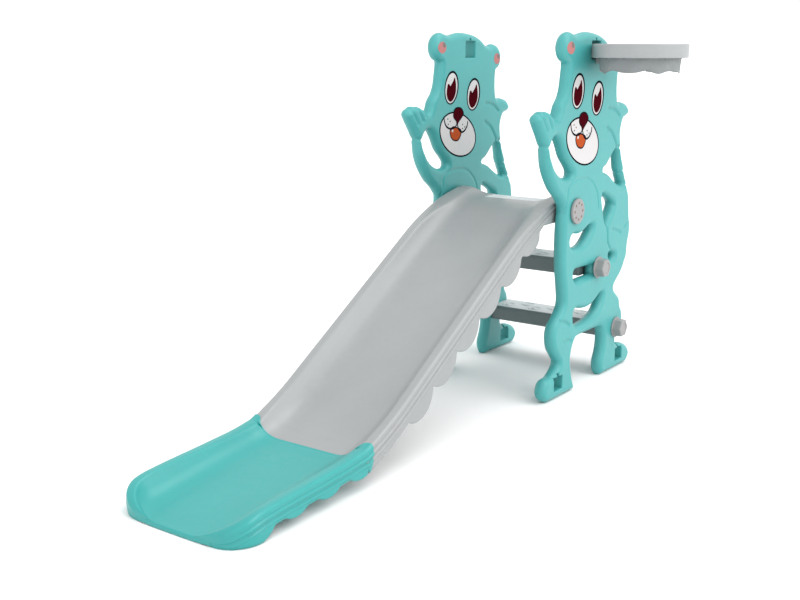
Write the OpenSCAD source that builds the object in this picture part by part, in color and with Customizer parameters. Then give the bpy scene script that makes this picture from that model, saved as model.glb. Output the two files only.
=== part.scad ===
// Child's garden slide: two bear-shaped side panels, a two-piece chute, a ladder of two steps and a
// platform, six screw knobs and a plug-in ball hoop. Millimetres, Z up, chute foot towards -X.

/* [Side panels] */
// Thickness of a side panel
panel_t = 40; // [34:1:42]
// Clear gap between the two panels
panel_gap = 384; // [370:2:400]
// Width of the bracket slot in the forehead
slot_w = 56; // [56:1:58]
// Height of the bracket slot in the forehead
slot_h = 50; // [48:1:52]
// Width of the slots through the feet
foot_slot_w = 50; // [40:2:56]
// Height of the slots through the feet
foot_slot_h = 40; // [30:2:42]
// Depth of the moulded grooves
groove_depth = 2.5; // [1:0.5:4]
// Width of the moulded grooves
groove_w = 5; // [3:0.5:7]

/* [Chute] */
// Angle of the straight part of the chute
slope = 31.7; // [31:0.1:32.4]
// Thickness of the sliding bed
bed_t = 12; // [8:1:14]
// Thickness of the scalloped skirts
skirt_t = 12; // [8:1:14]
// Width of the rounded rim on each side
rim_w = 28; // [24:1:32]
// Radius of the hollow between bed and rim
wall_r = 80; // [75:1:85]
// Radius of a scallop on the upper chute
lobe_r = 70; // [66:1:72]
// Gap between the chute and each panel
side_gap = 2; // [1:0.5:3]

/* [Steps] */
// Height of a step and of the platform
step_h = 48; // [44:1:50]
// Depth of a step from front to back
step_d = 118; // [105:1:125]
// Radius of a step's long edges
step_r = 9; // [4:1:12]

/* [Screw knobs] */
// Radius of a knob's threaded shank
shank_r = 8; // [6:0.5:9]
// Radius of the flat knob beside the platform
disc_r = 37; // [32:1:40]
// Radius of the six-sided knob, corner to centre
hex_r = 30; // [26:1:32]
// How far a six-sided knob stands out
hex_len = 30; // [20:1:34]

/* [Ball hoop] */
// Outer radius of the ring
ring_r = 131; // [120:1:135]
// Height of the ring's band
ring_h = 38; // [30:1:38]
// Length of the net below the ring
net_len = 42; // [30:1:60]

/* [Hidden] */
$fn = 48;

// All parts are drawn with X = 0 near the front foot, Y = 0 on the right panel's outer face and
// Z = 0 on the floor, then moved so that the origin is under the middle of the whole slide.
far_y = 2 * panel_t + panel_gap;      // outer face of the left panel
mid_y = far_y / 2;                    // plane between the two panels
rear_toe_x = 598;                     // end of the rear foot
front_x = -1208;                      // front lip of the chute
ring_gap = 4;                         // ring to panel face
ring_x = 264;                         // middle of the forehead
ring_y = -ring_r - ring_gap;          // middle of the ring
ring_z = 979;                         // underside of the ring
box_x = (front_x + rear_toe_x) / 2;
box_y = (ring_y - ring_r + far_y + hex_len) / 2;
module place() translate([-box_x, -box_y, 0]) children();

// ---- Curves ----
function curve_point(a, b, c, d, t) =
    0.5 * (2 * b + (c - a) * t + (2 * a - 5 * b + 4 * c - d) * t * t
        + (3 * b - a - 3 * c + d) * t * t * t);
// A smooth closed curve through every point of a list
function loop(p, steps = 4) = let (n = len(p)) [
    for (i = [0 : n - 1]) for (s = [0 : steps - 1])
        curve_point(p[(i + n - 1) % n], p[i], p[(i + 1) % n], p[(i + 2) % n], s / steps)
];
// A smooth open curve through every point of a list
function path(p, steps = 5) = let (n = len(p)) concat([
    for (i = [0 : n - 2]) for (s = [0 : steps - 1])
        curve_point(p[max(i - 1, 0)], p[i], p[i + 1], p[min(i + 2, n - 1)], s / steps)
], [p[n - 1]]);
function arc(c, r, from, to, steps = 12) =
    [for (i = [0 : steps]) c + r * [cos(from + (to - from) * i / steps), sin(from + (to - from) * i / steps)]];
function oval(c, a, b, turn, steps = 40) = [
    for (i = [0 : steps - 1]) let (u = a * cos(360 * i / steps), v = b * sin(360 * i / steps))
        c + [u * cos(turn) - v * sin(turn), u * sin(turn) + v * cos(turn)]
];
function flip(p) = [for (i = [len(p) - 1 : -1 : 0]) p[i]];

// Draws a flat [x, z] shape upright, from y to y + t
module upright(y, t) translate([0, y + t, 0]) rotate([90, 0, 0]) linear_extrude(height = t) children();

// A round pin or bore along Y
module rod(x, z, r, y, len) translate([x, y, z]) rotate([-90, 0, 0]) cylinder(r = r, h = len);

// ---- The bear's outline, in [x, z] ----
left_ear = [117, 1006];
right_ear = [415, 973];
ear_r = 43;
head = concat(
    [[57, 832], [67, 854], [88, 877], [99, 900], [105, 930], [109, 955]],
    arc(left_ear, ear_r, 256, 68, 9),
    [[160, 1042], [222, 1050], [290, 1044], [334, 1031], [364, 1014]],
    arc(right_ear, ear_r, 122, -72, 9),
    [[425, 900], [427, 868]]
);
rear_hand = [[436, 846], [468, 845], [500, 837], [518, 815], [505, 801], [480, 794], [466, 772], [462, 750]];
forearm = [
    [468, 715], [476, 685], [492, 654], [504, 623], [519, 602], [530, 578], [541, 560], [547, 533],
    [553, 490], [561, 462], [560, 430], [550, 400], [546, 362], [531, 338]
];
rear_leg = [
    [517, 319], [500, 303], [478, 288], [461, 272], [478, 254], [505, 233], [514, 207], [529, 184],
    [533, 155], [515, 128], [490, 105], [492, 86]
];
rear_foot = [[510, 77], [541, 73], [580, 57], [598, 32], [584, 6], [550, -8], [475, -14], [402, -8], [380, 16]];
arch = [
    [377, 45], [390, 78], [396, 105], [394, 134], [384, 155], [360, 161], [290, 162], [222, 161],
    [201, 152], [185, 126], [180, 100], [186, 70], [198, 36]
];
front_foot = [[208, 10], [190, -10], [130, -14], [70, -9], [32, 4], [13, 22], [12, 46], [30, 70], [68, 75]];
front_leg = [[105, 101], [90, 124], [67, 152], [58, 185], [60, 208], [73, 231], [95, 247], [113, 264]];
chest = [[124, 286], [118, 330], [107, 385], [102, 455], [104, 520], [108, 560]];
raised_arm = [[84, 589], [50, 615], [17, 654], [-2, 692], [-11, 738], [-26, 764]];
raised_hand = [[-50, 796], [-62, 818], [-45, 837], [-10, 839], [20, 831], [44, 817]];
outline = concat(head, rear_hand, forearm, rear_leg, rear_foot, arch, front_foot, front_leg, chest,
    raised_arm, raised_hand);

raised_arm_gap = [
    [14, 735], [34, 695], [60, 668], [95, 650], [130, 646], [150, 655], [138, 672], [105, 702],
    [82, 738], [58, 764], [34, 764]
];
cheek_gap = [
    [352, 648], [375, 660], [402, 682], [428, 702], [448, 700], [457, 670], [463, 643], [478, 616],
    [490, 594], [462, 597], [430, 612], [395, 632]
];
elbow_gap = [[352, 572], [386, 562], [424, 543], [419, 520], [401, 500], [384, 485], [372, 500], [360, 535]];
belly_gap = [
    [153, 458], [161, 473], [185, 478], [215, 474], [242, 480], [266, 489], [287, 491], [287, 480],
    [270, 463], [245, 446], [215, 437], [185, 437], [162, 443]
];
hip_gap = [[180, 355], [186, 368], [215, 370], [260, 369], [300, 366], [304, 352], [298, 339], [240, 338], [195, 336]];
wrist_gap = [[411, 383], [428, 388], [449, 378], [440, 367], [421, 369]];
knee_gap = [
    [189, 220], [191, 244], [215, 249], [258, 241], [300, 241], [336, 254], [366, 268], [377, 262],
    [366, 240], [342, 218], [300, 204], [240, 197], [200, 202]
];
gaps = [raised_arm_gap, cheek_gap, elbow_gap, belly_gap, hip_gap, wrist_gap, knee_gap];

foot_slots = [[97, 47], [508, 45]];
slot_mid = [ring_x, 1000];

// Where the screws go, in [x, z]
top_screw = [172, 547];
middle_screw = [330, 357];
lower_screw = [474, 140];

// Moulded creases that show the limbs
creases = [
    [[114, 585], [120, 624], [160, 634], [207, 636], [249, 630], [288, 606], [308, 580], [318, 540]],
    [[-8, 744], [3, 741], [16, 741]],
    [[357, 775], [395, 755], [430, 714]],
    [[363, 833], [407, 825], [438, 806]],
    [[445, 715], [457, 708], [468, 704]],
    [[99, 232], [126, 226], [153, 212]],
    [[378, 494], [389, 456], [394, 424], [411, 404]],
    [[422, 461], [452, 453], [480, 444]]
];
function side_of(p, i) = let (d = p[min(i + 1, len(p) - 1)] - p[max(i - 1, 0)]) [-d[1], d[0]] / norm(d);
function stripe(p, w) = concat([for (i = [0 : len(p) - 1]) p[i] + side_of(p, i) * w / 2],
    flip([for (i = [0 : len(p) - 1]) p[i] - side_of(p, i) * w / 2]));

module slot_shape(mid, w, h, notch) {
    translate(mid - [w, h] / 2) square([w, h]);
    translate(mid + [-notch / 2, h / 2 - 1]) square([notch, notch + 1]);
}

module bear() {
    difference() {
        intersection() {
            polygon(loop(outline));
            translate([-200, 0]) square([1000, 1100]);
        }
        for (g = gaps) polygon(loop(g));
        slot_shape(slot_mid, slot_w, slot_h, 8);
        for (m = foot_slots) slot_shape(m, foot_slot_w, foot_slot_h, 10);
        for (s = [top_screw, middle_screw, lower_screw]) translate(s) circle(r = shank_r + 0.3);
    }
}

module side_panel(y) place() difference() {
    upright(y, panel_t) bear();
    for (face = [y - 1, y + panel_t - groove_depth]) for (c = creases)
        upright(face, groove_depth + 1) polygon(stripe(path(c), groove_w));
}
module side_panel_right() color("mediumturquoise") side_panel(0);
module side_panel_left() color("mediumturquoise") side_panel(far_y - panel_t);

// ---- The chute ----
chute_y = panel_t + side_gap;                 // outer face of the right skirt
chute_w = panel_gap - 2 * side_gap;
deck_z = 562;                                 // level of the platform's top
deck_x = 190;                                 // end of the tongue over the platform
bend_r = 250;                                 // bend at the top of the bed
bend_x = 178;                                 // where the bed starts to fall
bend_end = [bend_x, deck_z - bend_r] + bend_r * [-sin(slope), cos(slope)];
run_r = 487;                                  // bend at the foot of the upper chute
run_slope = 10.4;                             // slope of the bed at the joint
joint = [-768, 60];                           // bed at the joint between the two chute pieces
run_mid = joint + run_r * [-sin(run_slope), cos(run_slope)];
run_start = run_mid + run_r * [sin(slope), -cos(slope)];
straight_len = norm(bend_end - run_start);

// Cross-section of the chute in [height over the bed, distance from the middle]
wall_edge = chute_w / 2 - rim_w - wall_r * 0.9;
rim_top = 75;
module chute_section() {
    half = concat(
        [[0, 0]],
        [for (a = [0 : 8 : 64]) [wall_r * (1 - cos(a)), wall_edge + wall_r * sin(a)]],
        [[rim_top, chute_w / 2 - rim_w], [rim_top, chute_w / 2], [38, chute_w / 2]],
        [for (a = [62 : -8 : 0]) [wall_r - (wall_r + bed_t) * cos(a), wall_edge + (wall_r + bed_t) * sin(a)]],
        [[-bed_t, 0]]
    );
    polygon(half);
    mirror([0, 1]) polygon(half);
}

// Rim line of the upper chute, from the platform down to the joint
crest_r = 768;
crest_top = [190, 586];
crest_mid = crest_top - crest_r * [-sin(8.5), cos(8.5)];
crest_foot_r = 915;
crest_joint = [-768, 94];
crest_foot_mid = crest_joint + crest_foot_r * [-sin(20), cos(20)];
upper_crest = concat(arc(crest_mid, crest_r, 90 + 8.5, 90 + slope),
    arc(crest_foot_mid, crest_foot_r, slope - 90, 20 - 90));

// Level of the skirts where the scallops meet, below the rim line
skirt_drop = 62;
lobe_pitch = [108, 66.7];
lobe_first = [-26, 509];
lobe_drop_end = 514;                          // straight bottom beside the platform
tab_x = 37;                                   // where that straight bottom starts

module upper_crest_area(low) polygon(concat(upper_crest, [[crest_joint[0], low], [crest_top[0], low]]));

module upper_skirt() difference() {
    intersection() {
        upper_crest_area(0);
        union() {
            polygon(concat(upper_crest, flip([for (p = upper_crest) p - [0, skirt_drop]])));
            for (k = [0 : 5]) translate(lobe_first - k * lobe_pitch) circle(r = lobe_r);
            translate([-730, 114]) circle(r = 56);
            translate([tab_x, lobe_drop_end]) square([crest_top[0] - tab_x, 90]);
        }
    }
    translate([tab_x, lobe_drop_end - 60]) square([200, 60]);
    translate(top_screw) circle(r = shank_r + 0.3);
}

module bed_sweep() {
    tongue_x = deck_x - bend_x;
    translate([bend_x, 0, deck_z]) rotate([0, 90, 0]) linear_extrude(height = tongue_x)
        mirror([1, 0]) chute_section();
    translate([bend_x, 0, deck_z - bend_r]) rotate([90, 0, 0]) rotate([0, 0, 90])
        rotate_extrude(angle = slope) translate([bend_r, 0]) chute_section();
    translate([run_start[0], 0, run_start[1]]) rotate([0, 90 - slope, 0])
        linear_extrude(height = straight_len) mirror([1, 0]) chute_section();
    translate([run_mid[0], 0, run_mid[1]]) rotate([90, 0, 0]) rotate([0, 0, run_slope - 90])
        rotate_extrude(angle = slope - run_slope) translate([run_r, 0]) mirror([1, 0]) chute_section();
}

// A tongue of the upper chute lies under the bed of the lower one
lap_len = 60;
lap_t = 6;
lap_w = 2 * wall_edge - 20;
lower_slope = 6.27;
chute_screws = [for (x = [30, 45], s = [-1, 1]) [x, s * lap_w * (x == 30 ? 0.4 : 0.15)]];
module lap_frame() translate([joint[0], mid_y, joint[1]]) rotate([0, -lower_slope, 0]) children();

module chute_upper() color("lightgray") place() {
    difference() {
        union() {
            intersection() {
                translate([0, mid_y, 0]) bed_sweep();
                upright(chute_y, chute_w) upper_crest_area(-50);
            }
            for (y = [chute_y, chute_y + chute_w - skirt_t]) upright(y, skirt_t) upper_skirt();
            lap_frame() {
                translate([-lap_len, -lap_w / 2, -bed_t - lap_t]) cube([lap_len + 12, lap_w, lap_t - 0.2]);
                translate([0.5, -lap_w / 2, -bed_t - 1]) cube([11.5, lap_w, 3]);
            }
        }
        // Clear the platform's corners beside the tongue
        for (y = [chute_y + skirt_t, mid_y + wall_edge + 2])
            translate([150, y, 500]) cube([60, mid_y - wall_edge - 2 - chute_y - skirt_t, 120]);
        lap_frame() for (s = chute_screws) translate([-s[0], s[1], -30]) cylinder(r = 2.2, h = 40);
    }
}

// ---- The lower chute ----
lip_z = 12;
lower_len = (joint[0] - front_x) / cos(lower_slope);
lower_crest = concat([[-768, 94], [-850, 86], [-950, 80], [-1050, 75], [-1120, 70]],
    arc([-1150, 12], 56, 75, 180, 10));
lower_lobes = [[-795, 92], [-908, 86], [-1021, 81]];
lower_lobe_r = 62;

module lower_crest_area(low) polygon(concat(lower_crest, [[front_x, low], [joint[0], low]]));

module lower_skirt() intersection() {
    translate([front_x, 0]) square([joint[0] - front_x, 120]);
    polygon(concat(lower_crest, [[front_x, 0], [joint[0], 0]]));
    union() {
        polygon([[joint[0], 44], [joint[0], 120], [front_x, 120], [front_x, 30]]);
        for (c = lower_lobes) translate(c) circle(r = lower_lobe_r);
        translate([-1142, 62]) circle(r = 64);
        translate([front_x, 0]) square([70, 60]);
    }
}

module lower_plan() {
    corner = 62;
    hull_x = front_x + corner;
    translate([hull_x, chute_y]) square([joint[0] - hull_x, chute_w]);
    translate([front_x, chute_y + corner]) square([corner, chute_w - 2 * corner]);
    for (y = [chute_y + corner, chute_y + chute_w - corner]) translate([hull_x, y]) circle(r = corner);
}

module chute_lower() color("mediumturquoise") place() difference() {
    intersection() {
        union() {
            intersection() {
                translate([front_x, mid_y, lip_z]) rotate([0, 90 - lower_slope, 0])
                    linear_extrude(height = lower_len) mirror([1, 0]) chute_section();
                upright(chute_y, chute_w) lower_crest_area(0);
            }
            for (y = [chute_y, chute_y + chute_w - skirt_t]) upright(y, skirt_t) lower_skirt();
            intersection() {
                translate([front_x, chute_y, 0]) cube([40, chute_w, 16]);
                upright(chute_y, chute_w) polygon([[front_x, 0], [front_x, lip_z], [front_x + 40, lip_z + 4], [front_x + 40, 0]]);
            }
        }
        translate([0, 0, -5]) linear_extrude(height = 150) lower_plan();
    }
    lap_frame() for (s = chute_screws) translate([-s[0], s[1], -bed_t]) cylinder(r = 2.2, h = 8);
}

module chute_joint_screws() color("silver") place() lap_frame() for (s = chute_screws)
    translate([-s[0], s[1], -bed_t - lap_t - 3]) {
        cylinder(r = 4, h = 2.9);
        cylinder(r = 2.1, h = lap_t + 8);
    }

// ---- Steps and platform ----
platform_x = 118;
platform_back = 262;
platform_y = panel_t + side_gap + skirt_t + 2;
insert_r = 12;
insert_len = 36;

module bar_shape(x, z, w, h) {
    translate([x + step_r, z]) square([w - 2 * step_r, h]);
    translate([x, z + step_r]) square([w, h - 2 * step_r]);
    for (i = [0, 1], j = [0, 1])
        translate([x + (i ? w - step_r : step_r), z + (j ? h - step_r : step_r)]) circle(r = step_r);
}

// Anti-slip swirls moulded on a tread
module swirls(x, z, n) for (i = [0 : n - 1])
    translate([x + (i % 2 ? 34 : -34) * 0.5, panel_t + 46 + i * (panel_gap - 92) / (n - 1), z - 1])
        difference() {
            cylinder(r = 24, h = 3);
            translate([0, 0, -1]) cylinder(r = 20, h = 5);
            translate([-30, i % 2 ? 0 : -30, -1]) cube([60, 30, 5]);
        }

module step(screw) {
    low = screw[1] - step_h / 2;
    difference() {
        union() {
            upright(panel_t, panel_gap) bar_shape(screw[0] - step_d / 2 + 4, low, step_d, step_h);
            swirls(screw[0] + 4, low + step_h, 7);
        }
        for (y = [panel_t - 1, panel_t + panel_gap - insert_len])
            rod(screw[0], screw[1], insert_r, y, insert_len + 1);
        for (y = [panel_t + insert_len - 1, panel_t + panel_gap - insert_len - 19])
            rod(screw[0], screw[1], shank_r + 1, y, 20);
    }
}
module step_middle() color("slategray") place() step(middle_screw);
module step_lower() color("slategray") place() step(lower_screw);

module top_platform() color("lightgray") place() {
    low = deck_z - step_h;
    inner_w = panel_gap - 2 * (platform_y - panel_t);
    difference() {
        upright(platform_y, inner_w) bar_shape(platform_x, low, platform_back - platform_x, step_h);
        translate([platform_x - 1, mid_y - wall_edge - 4, deck_z - bed_t - 3])
            cube([deck_x - platform_x + 2, 2 * wall_edge + 8, 20]);
        translate([platform_x - 1, platform_y - 1, 534]) cube([151.5 - platform_x, inner_w + 2, 40]);
        for (y = [platform_y - 1, platform_y + inner_w - insert_len])
            rod(top_screw[0], top_screw[1], insert_r, y, insert_len + 1);
    }
}

module inserts(screw, y, w) for (start = [y, y + w - insert_len]) difference() {
    rod(screw[0], screw[1], insert_r, start, insert_len);
    rod(screw[0], screw[1], shank_r + 0.05, start - 1, insert_len + 2);
}
module platform_inserts() color("dimgray") place()
    inserts(top_screw, platform_y, panel_gap - 2 * (platform_y - panel_t));
module middle_step_inserts() color("dimgray") place() inserts(middle_screw, panel_t, panel_gap);
module lower_step_inserts() color("dimgray") place() inserts(lower_screw, panel_t, panel_gap);

// ---- Screw knobs, drawn for the right side and mirrored for the left ----
module on_side(left) {
    if (left) translate([0, far_y, 0]) mirror([0, 1, 0]) children();
    else children();
}

disc_t = 9;
module disc_knob(screw, len) {
    difference() {
        rod(screw[0], screw[1], disc_r, -disc_t, disc_t);
        for (a = [0 : 45 : 315])
            translate([screw[0] + 24 * cos(a), -disc_t - 2, screw[1] + 24 * sin(a)]) sphere(r = 4.5);
    }
    rod(screw[0], screw[1], shank_r, -1, len + 1);
}

module hex_knob(screw, len) {
    rod(screw[0], screw[1], 33, -5, 5);
    translate([screw[0], -4, screw[1]]) rotate([90, 0, 0]) cylinder(r = hex_r, h = hex_len - 4, $fn = 6);
    rod(screw[0], screw[1], shank_r, -1, len + 1);
}

top_reach = platform_y + insert_len - 4;
step_reach = panel_t + insert_len - 4;
module knob_top_right() color("silver") place() on_side(false) disc_knob(top_screw, top_reach);
module knob_top_left() color("silver") place() on_side(true) disc_knob(top_screw, top_reach);
module knob_middle_right() color("silver") place() on_side(false) hex_knob(middle_screw, step_reach);
module knob_middle_left() color("silver") place() on_side(true) hex_knob(middle_screw, step_reach);
module knob_lower_right() color("silver") place() on_side(false) hex_knob(lower_screw, step_reach);
module knob_lower_left() color("silver") place() on_side(true) hex_knob(lower_screw, step_reach);

// ---- Ball hoop ----
ring_t = 8;
flange_in = 108;
module ring_tube(outer, inner, z, h) translate([ring_x, ring_y, z]) difference() {
    cylinder(r = outer, h = h);
    translate([0, 0, -1]) cylinder(r = inner, h = h + 2);
}
module hoop_ring() color("silver") place() {
    ring_tube(ring_r, ring_r - ring_t, ring_z, ring_h);
    ring_tube(ring_r - ring_t + 1, flange_in, ring_z, 3);
}

bracket_w = slot_w - 2;
module hoop_bracket() color("silver") place() difference() {
    union() {
        translate([ring_x - bracket_w / 2, -22, ring_z]) cube([bracket_w, 22 + panel_t + 5, ring_h]);
        translate([ring_x - 12, panel_t + 0.5, ring_z + ring_h - 1]) cube([24, 4.5, 5]);
        translate([ring_x - 12, -20, ring_z - 18]) cube([24, 18, 19]);
    }
    translate([ring_x, ring_y, ring_z - 30]) cylinder(r = ring_r, h = 100);
}

net_r = 113;
module hoop_net() color("gainsboro") place() ring_tube(net_r, net_r - 3, ring_z - net_len, net_len);

// ---- Printed stickers: eyes, muzzle, nose and ear insets ----
sticker_t = 0.4;
module face_art() {
    polygon(oval([158, 887], 36, 49, -14));
    polygon(oval([283, 863], 36, 49, -14));
    polygon(oval([198, 745], 105, 65, -17));
    polygon(oval([193, 803], 28, 24, -10));
    polygon(oval([107, 1006], 24, 18, 0));
    polygon(oval([422, 971], 20, 18, 0));
}
module stickers_right_outer() color("white") place() upright(-sticker_t, sticker_t) face_art();
module stickers_right_inner() color("white") place() upright(panel_t, sticker_t) face_art();
module stickers_left_outer() color("white") place() upright(far_y, sticker_t) face_art();
module stickers_left_inner() color("white") place() upright(far_y - panel_t - sticker_t, sticker_t) face_art();

side_panel_right();
side_panel_left();
chute_upper();
chute_lower();
top_platform();
step_middle();
step_lower();
knob_top_right();
knob_top_left();
knob_middle_right();
knob_middle_left();
knob_lower_right();
knob_lower_left();
platform_inserts();
middle_step_inserts();
lower_step_inserts();
chute_joint_screws();
hoop_ring();
hoop_bracket();
hoop_net();
stickers_right_outer();
stickers_right_inner();
stickers_left_outer();
stickers_left_inner();
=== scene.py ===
"""Child's garden slide: two bear-shaped side panels, a two-piece chute, steps, knobs and a ball hoop.

Lengths are millimetres, measured from the right panel's front foot: X along the slide towards the
ladder, Y from the right panel's outer face to the left one, Z up. put() turns them into the shared
frame's metres.
"""
import math
from itertools import product

import bmesh
import bpy
import numpy as np
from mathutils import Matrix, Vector


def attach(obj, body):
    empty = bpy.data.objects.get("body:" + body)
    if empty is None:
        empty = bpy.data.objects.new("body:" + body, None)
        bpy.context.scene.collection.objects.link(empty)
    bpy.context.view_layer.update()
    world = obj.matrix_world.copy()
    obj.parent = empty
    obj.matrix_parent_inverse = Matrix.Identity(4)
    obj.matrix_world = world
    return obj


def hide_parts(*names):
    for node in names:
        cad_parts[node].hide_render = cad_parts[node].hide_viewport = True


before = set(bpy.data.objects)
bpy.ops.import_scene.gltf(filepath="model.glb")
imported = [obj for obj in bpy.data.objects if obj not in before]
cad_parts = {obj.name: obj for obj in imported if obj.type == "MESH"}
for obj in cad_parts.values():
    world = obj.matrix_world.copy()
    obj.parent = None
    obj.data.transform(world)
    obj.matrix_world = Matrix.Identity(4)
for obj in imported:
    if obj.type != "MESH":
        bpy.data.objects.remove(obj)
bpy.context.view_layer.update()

ORIGIN = np.array([-305.0, 114.0, 0.0])  # the shared frame's origin, in this script's millimetres
PANEL_T = 40.0
FAR_Y = 464.0  # outer face of the left panel
MID_Y = FAR_Y / 2


def put(points):
    """This script's millimetres as metres of the shared frame."""
    return (np.asarray(points, float) - ORIGIN) / 1000


# ------ meshes
def add_object(name, data):
    obj = bpy.data.objects.new(name, data)
    bpy.context.scene.collection.objects.link(obj)
    return obj


SHARP_DEGREES = 38  # an edge between faces that turn by more than this stays hard


def make_mesh(name, verts, faces, materials, slots=None, normals=None):
    """A smooth-shaded object; slots give each face's material, normals each vertex's direction."""
    mesh = bpy.data.meshes.new(name)
    mesh.from_pydata(put(verts).tolist(), [], [tuple(int(i) for i in f) for f in faces])
    for m in materials if isinstance(materials, (list, tuple)) else [materials]:
        mesh.materials.append(m)
    mesh.polygons.foreach_set("use_smooth", np.full(len(mesh.polygons), True))
    if slots is not None:
        mesh.polygons.foreach_set("material_index", np.asarray(slots, np.int32))
    if normals is None:
        work = bmesh.new()
        work.from_mesh(mesh)
        bmesh.ops.recalc_face_normals(work, faces=work.faces)
        work.to_mesh(mesh)
        work.free()
        mesh.set_sharp_from_angle(angle=math.radians(SHARP_DEGREES))
    mesh.update()
    if normals is not None:
        mesh.normals_split_custom_set_from_vertices(normals.tolist())
    return add_object(name, mesh)


def finish_piece(obj, body, replaces=()):
    """Ties a piece to its moving body and the CAD nodes that it stands for."""
    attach(obj, body)
    if replaces:
        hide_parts(*replaces)


def ring_faces(rows, cols, close_rows=False):
    """Quads between rows of closed rings."""
    r = np.arange(rows if close_rows else rows - 1)[:, None]
    c = np.arange(cols)[None, :]
    n, d = (r + 1) % rows, (c + 1) % cols
    return np.stack([r * cols + c, r * cols + d, n * cols + d, n * cols + c], -1).reshape(-1, 4).tolist()


def at_y(outline, y):
    """[x, z] points as [x, y, z]; y is one number or one for each point."""
    return np.column_stack([outline[:, 0], np.full(len(outline), y), outline[:, 1]])


def skin(rings, cap=True):
    """Vertices and faces of a closed surface through rings of equal length."""
    rings = np.asarray(rings, float)
    rows, cols = rings.shape[:2]
    faces = ring_faces(rows, cols)
    if cap:
        faces.append(list(range(cols))[::-1])
        faces.append(list(range((rows - 1) * cols, rows * cols)))
    return rings.reshape(-1, 3), faces


def join(parts):
    """Several (verts, faces) as one."""
    verts, faces, start = [], [], 0
    for v, f in parts:
        verts.append(np.asarray(v, float))
        faces += [[i + start for i in face] for face in f]
        start += len(v)
    return np.concatenate(verts), faces


def surface_net(field, low, step):
    """Quads where field changes sign on a regular grid; below 0 is inside."""
    size = np.array(field.shape)
    inside = field < 0
    corners = list(product((0, 1), repeat=3))
    count = np.zeros(size - 1, np.int8)
    for d in corners:
        count += inside[d[0]:size[0] - 1 + d[0], d[1]:size[1] - 1 + d[1], d[2]:size[2] - 1 + d[2]]
    cells = np.argwhere((count > 0) & (count < 8))
    index = np.full(size - 1, -1)
    index[tuple(cells.T)] = np.arange(len(cells))
    total, hits = np.zeros((len(cells), 3)), np.zeros(len(cells))
    for axis in range(3):
        unit = np.eye(3, dtype=int)[axis]
        for d in corners:
            if d[axis]:
                continue
            a = cells + np.array(d)
            fa, fb = field[tuple(a.T)], field[tuple((a + unit).T)]
            cross = (fa < 0) != (fb < 0)
            t = fa[cross] / (fa[cross] - fb[cross])
            total[cross] += np.array(d) + t[:, None] * unit
            hits[cross] += 1
    verts = np.asarray(low) + np.asarray(step) * (cells + total / hits[:, None])
    quads = []
    for axis in range(3):
        unit = np.eye(3, dtype=int)
        next_axis, last_axis = (axis + 1) % 3, (axis + 2) % 3
        u, v = unit[next_axis], unit[last_axis]
        a = np.take(inside, range(size[axis] - 1), axis)
        b = np.take(inside, range(1, size[axis]), axis)
        edges = np.argwhere(a != b)
        ok = (edges[:, next_axis] > 0) & (edges[:, next_axis] < size[next_axis] - 1)
        ok &= (edges[:, last_axis] > 0) & (edges[:, last_axis] < size[last_axis] - 1)
        edges = edges[ok]
        quad = np.stack([index[tuple((edges - o).T)] for o in (0 * u, u, u + v, v)], 1)
        out = a[tuple(edges.T)]
        quad[~out] = quad[~out][:, ::-1]
        quads.append(quad)
    return verts, np.concatenate(quads)


# ------ outlines of CAD nodes
def cut(node, y):
    """Where the plane at y cuts a CAD node: segments as an (n, 2, 2) array of [x, z]."""
    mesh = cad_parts[node].data
    mesh.calc_loop_triangles()
    co = np.empty(len(mesh.vertices) * 3)
    mesh.vertices.foreach_get("co", co)
    co = co.reshape(-1, 3) * 1000 + ORIGIN
    tri = np.empty(len(mesh.loop_triangles) * 3, np.int32)
    mesh.loop_triangles.foreach_get("vertices", tri)
    tri = co[tri.reshape(-1, 3)]
    side = tri[:, :, 1] - y
    crossing = (side.min(1) < 0) & (side.max(1) >= 0)
    tri, side = tri[crossing], side[crossing]
    out = np.empty((len(tri), 2, 2))
    found = np.zeros(len(tri), int)
    for i, j in ((0, 1), (1, 2), (2, 0)):
        hit = (side[:, i] < 0) != (side[:, j] < 0)
        t = side[hit, i] / (side[hit, i] - side[hit, j])
        p = tri[hit, i] + t[:, None] * (tri[hit, j] - tri[hit, i])
        out[np.flatnonzero(hit), found[hit]] = p[:, [0, 2]]
        found[hit] += 1
    return out[np.linalg.norm(out[:, 0] - out[:, 1], axis=1) > 1e-6]


def near(segments, middle, half):
    """Which segments lie within a box round a point."""
    return (np.abs(segments - np.asarray(middle)) <= np.asarray(half)).all((1, 2))


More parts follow.
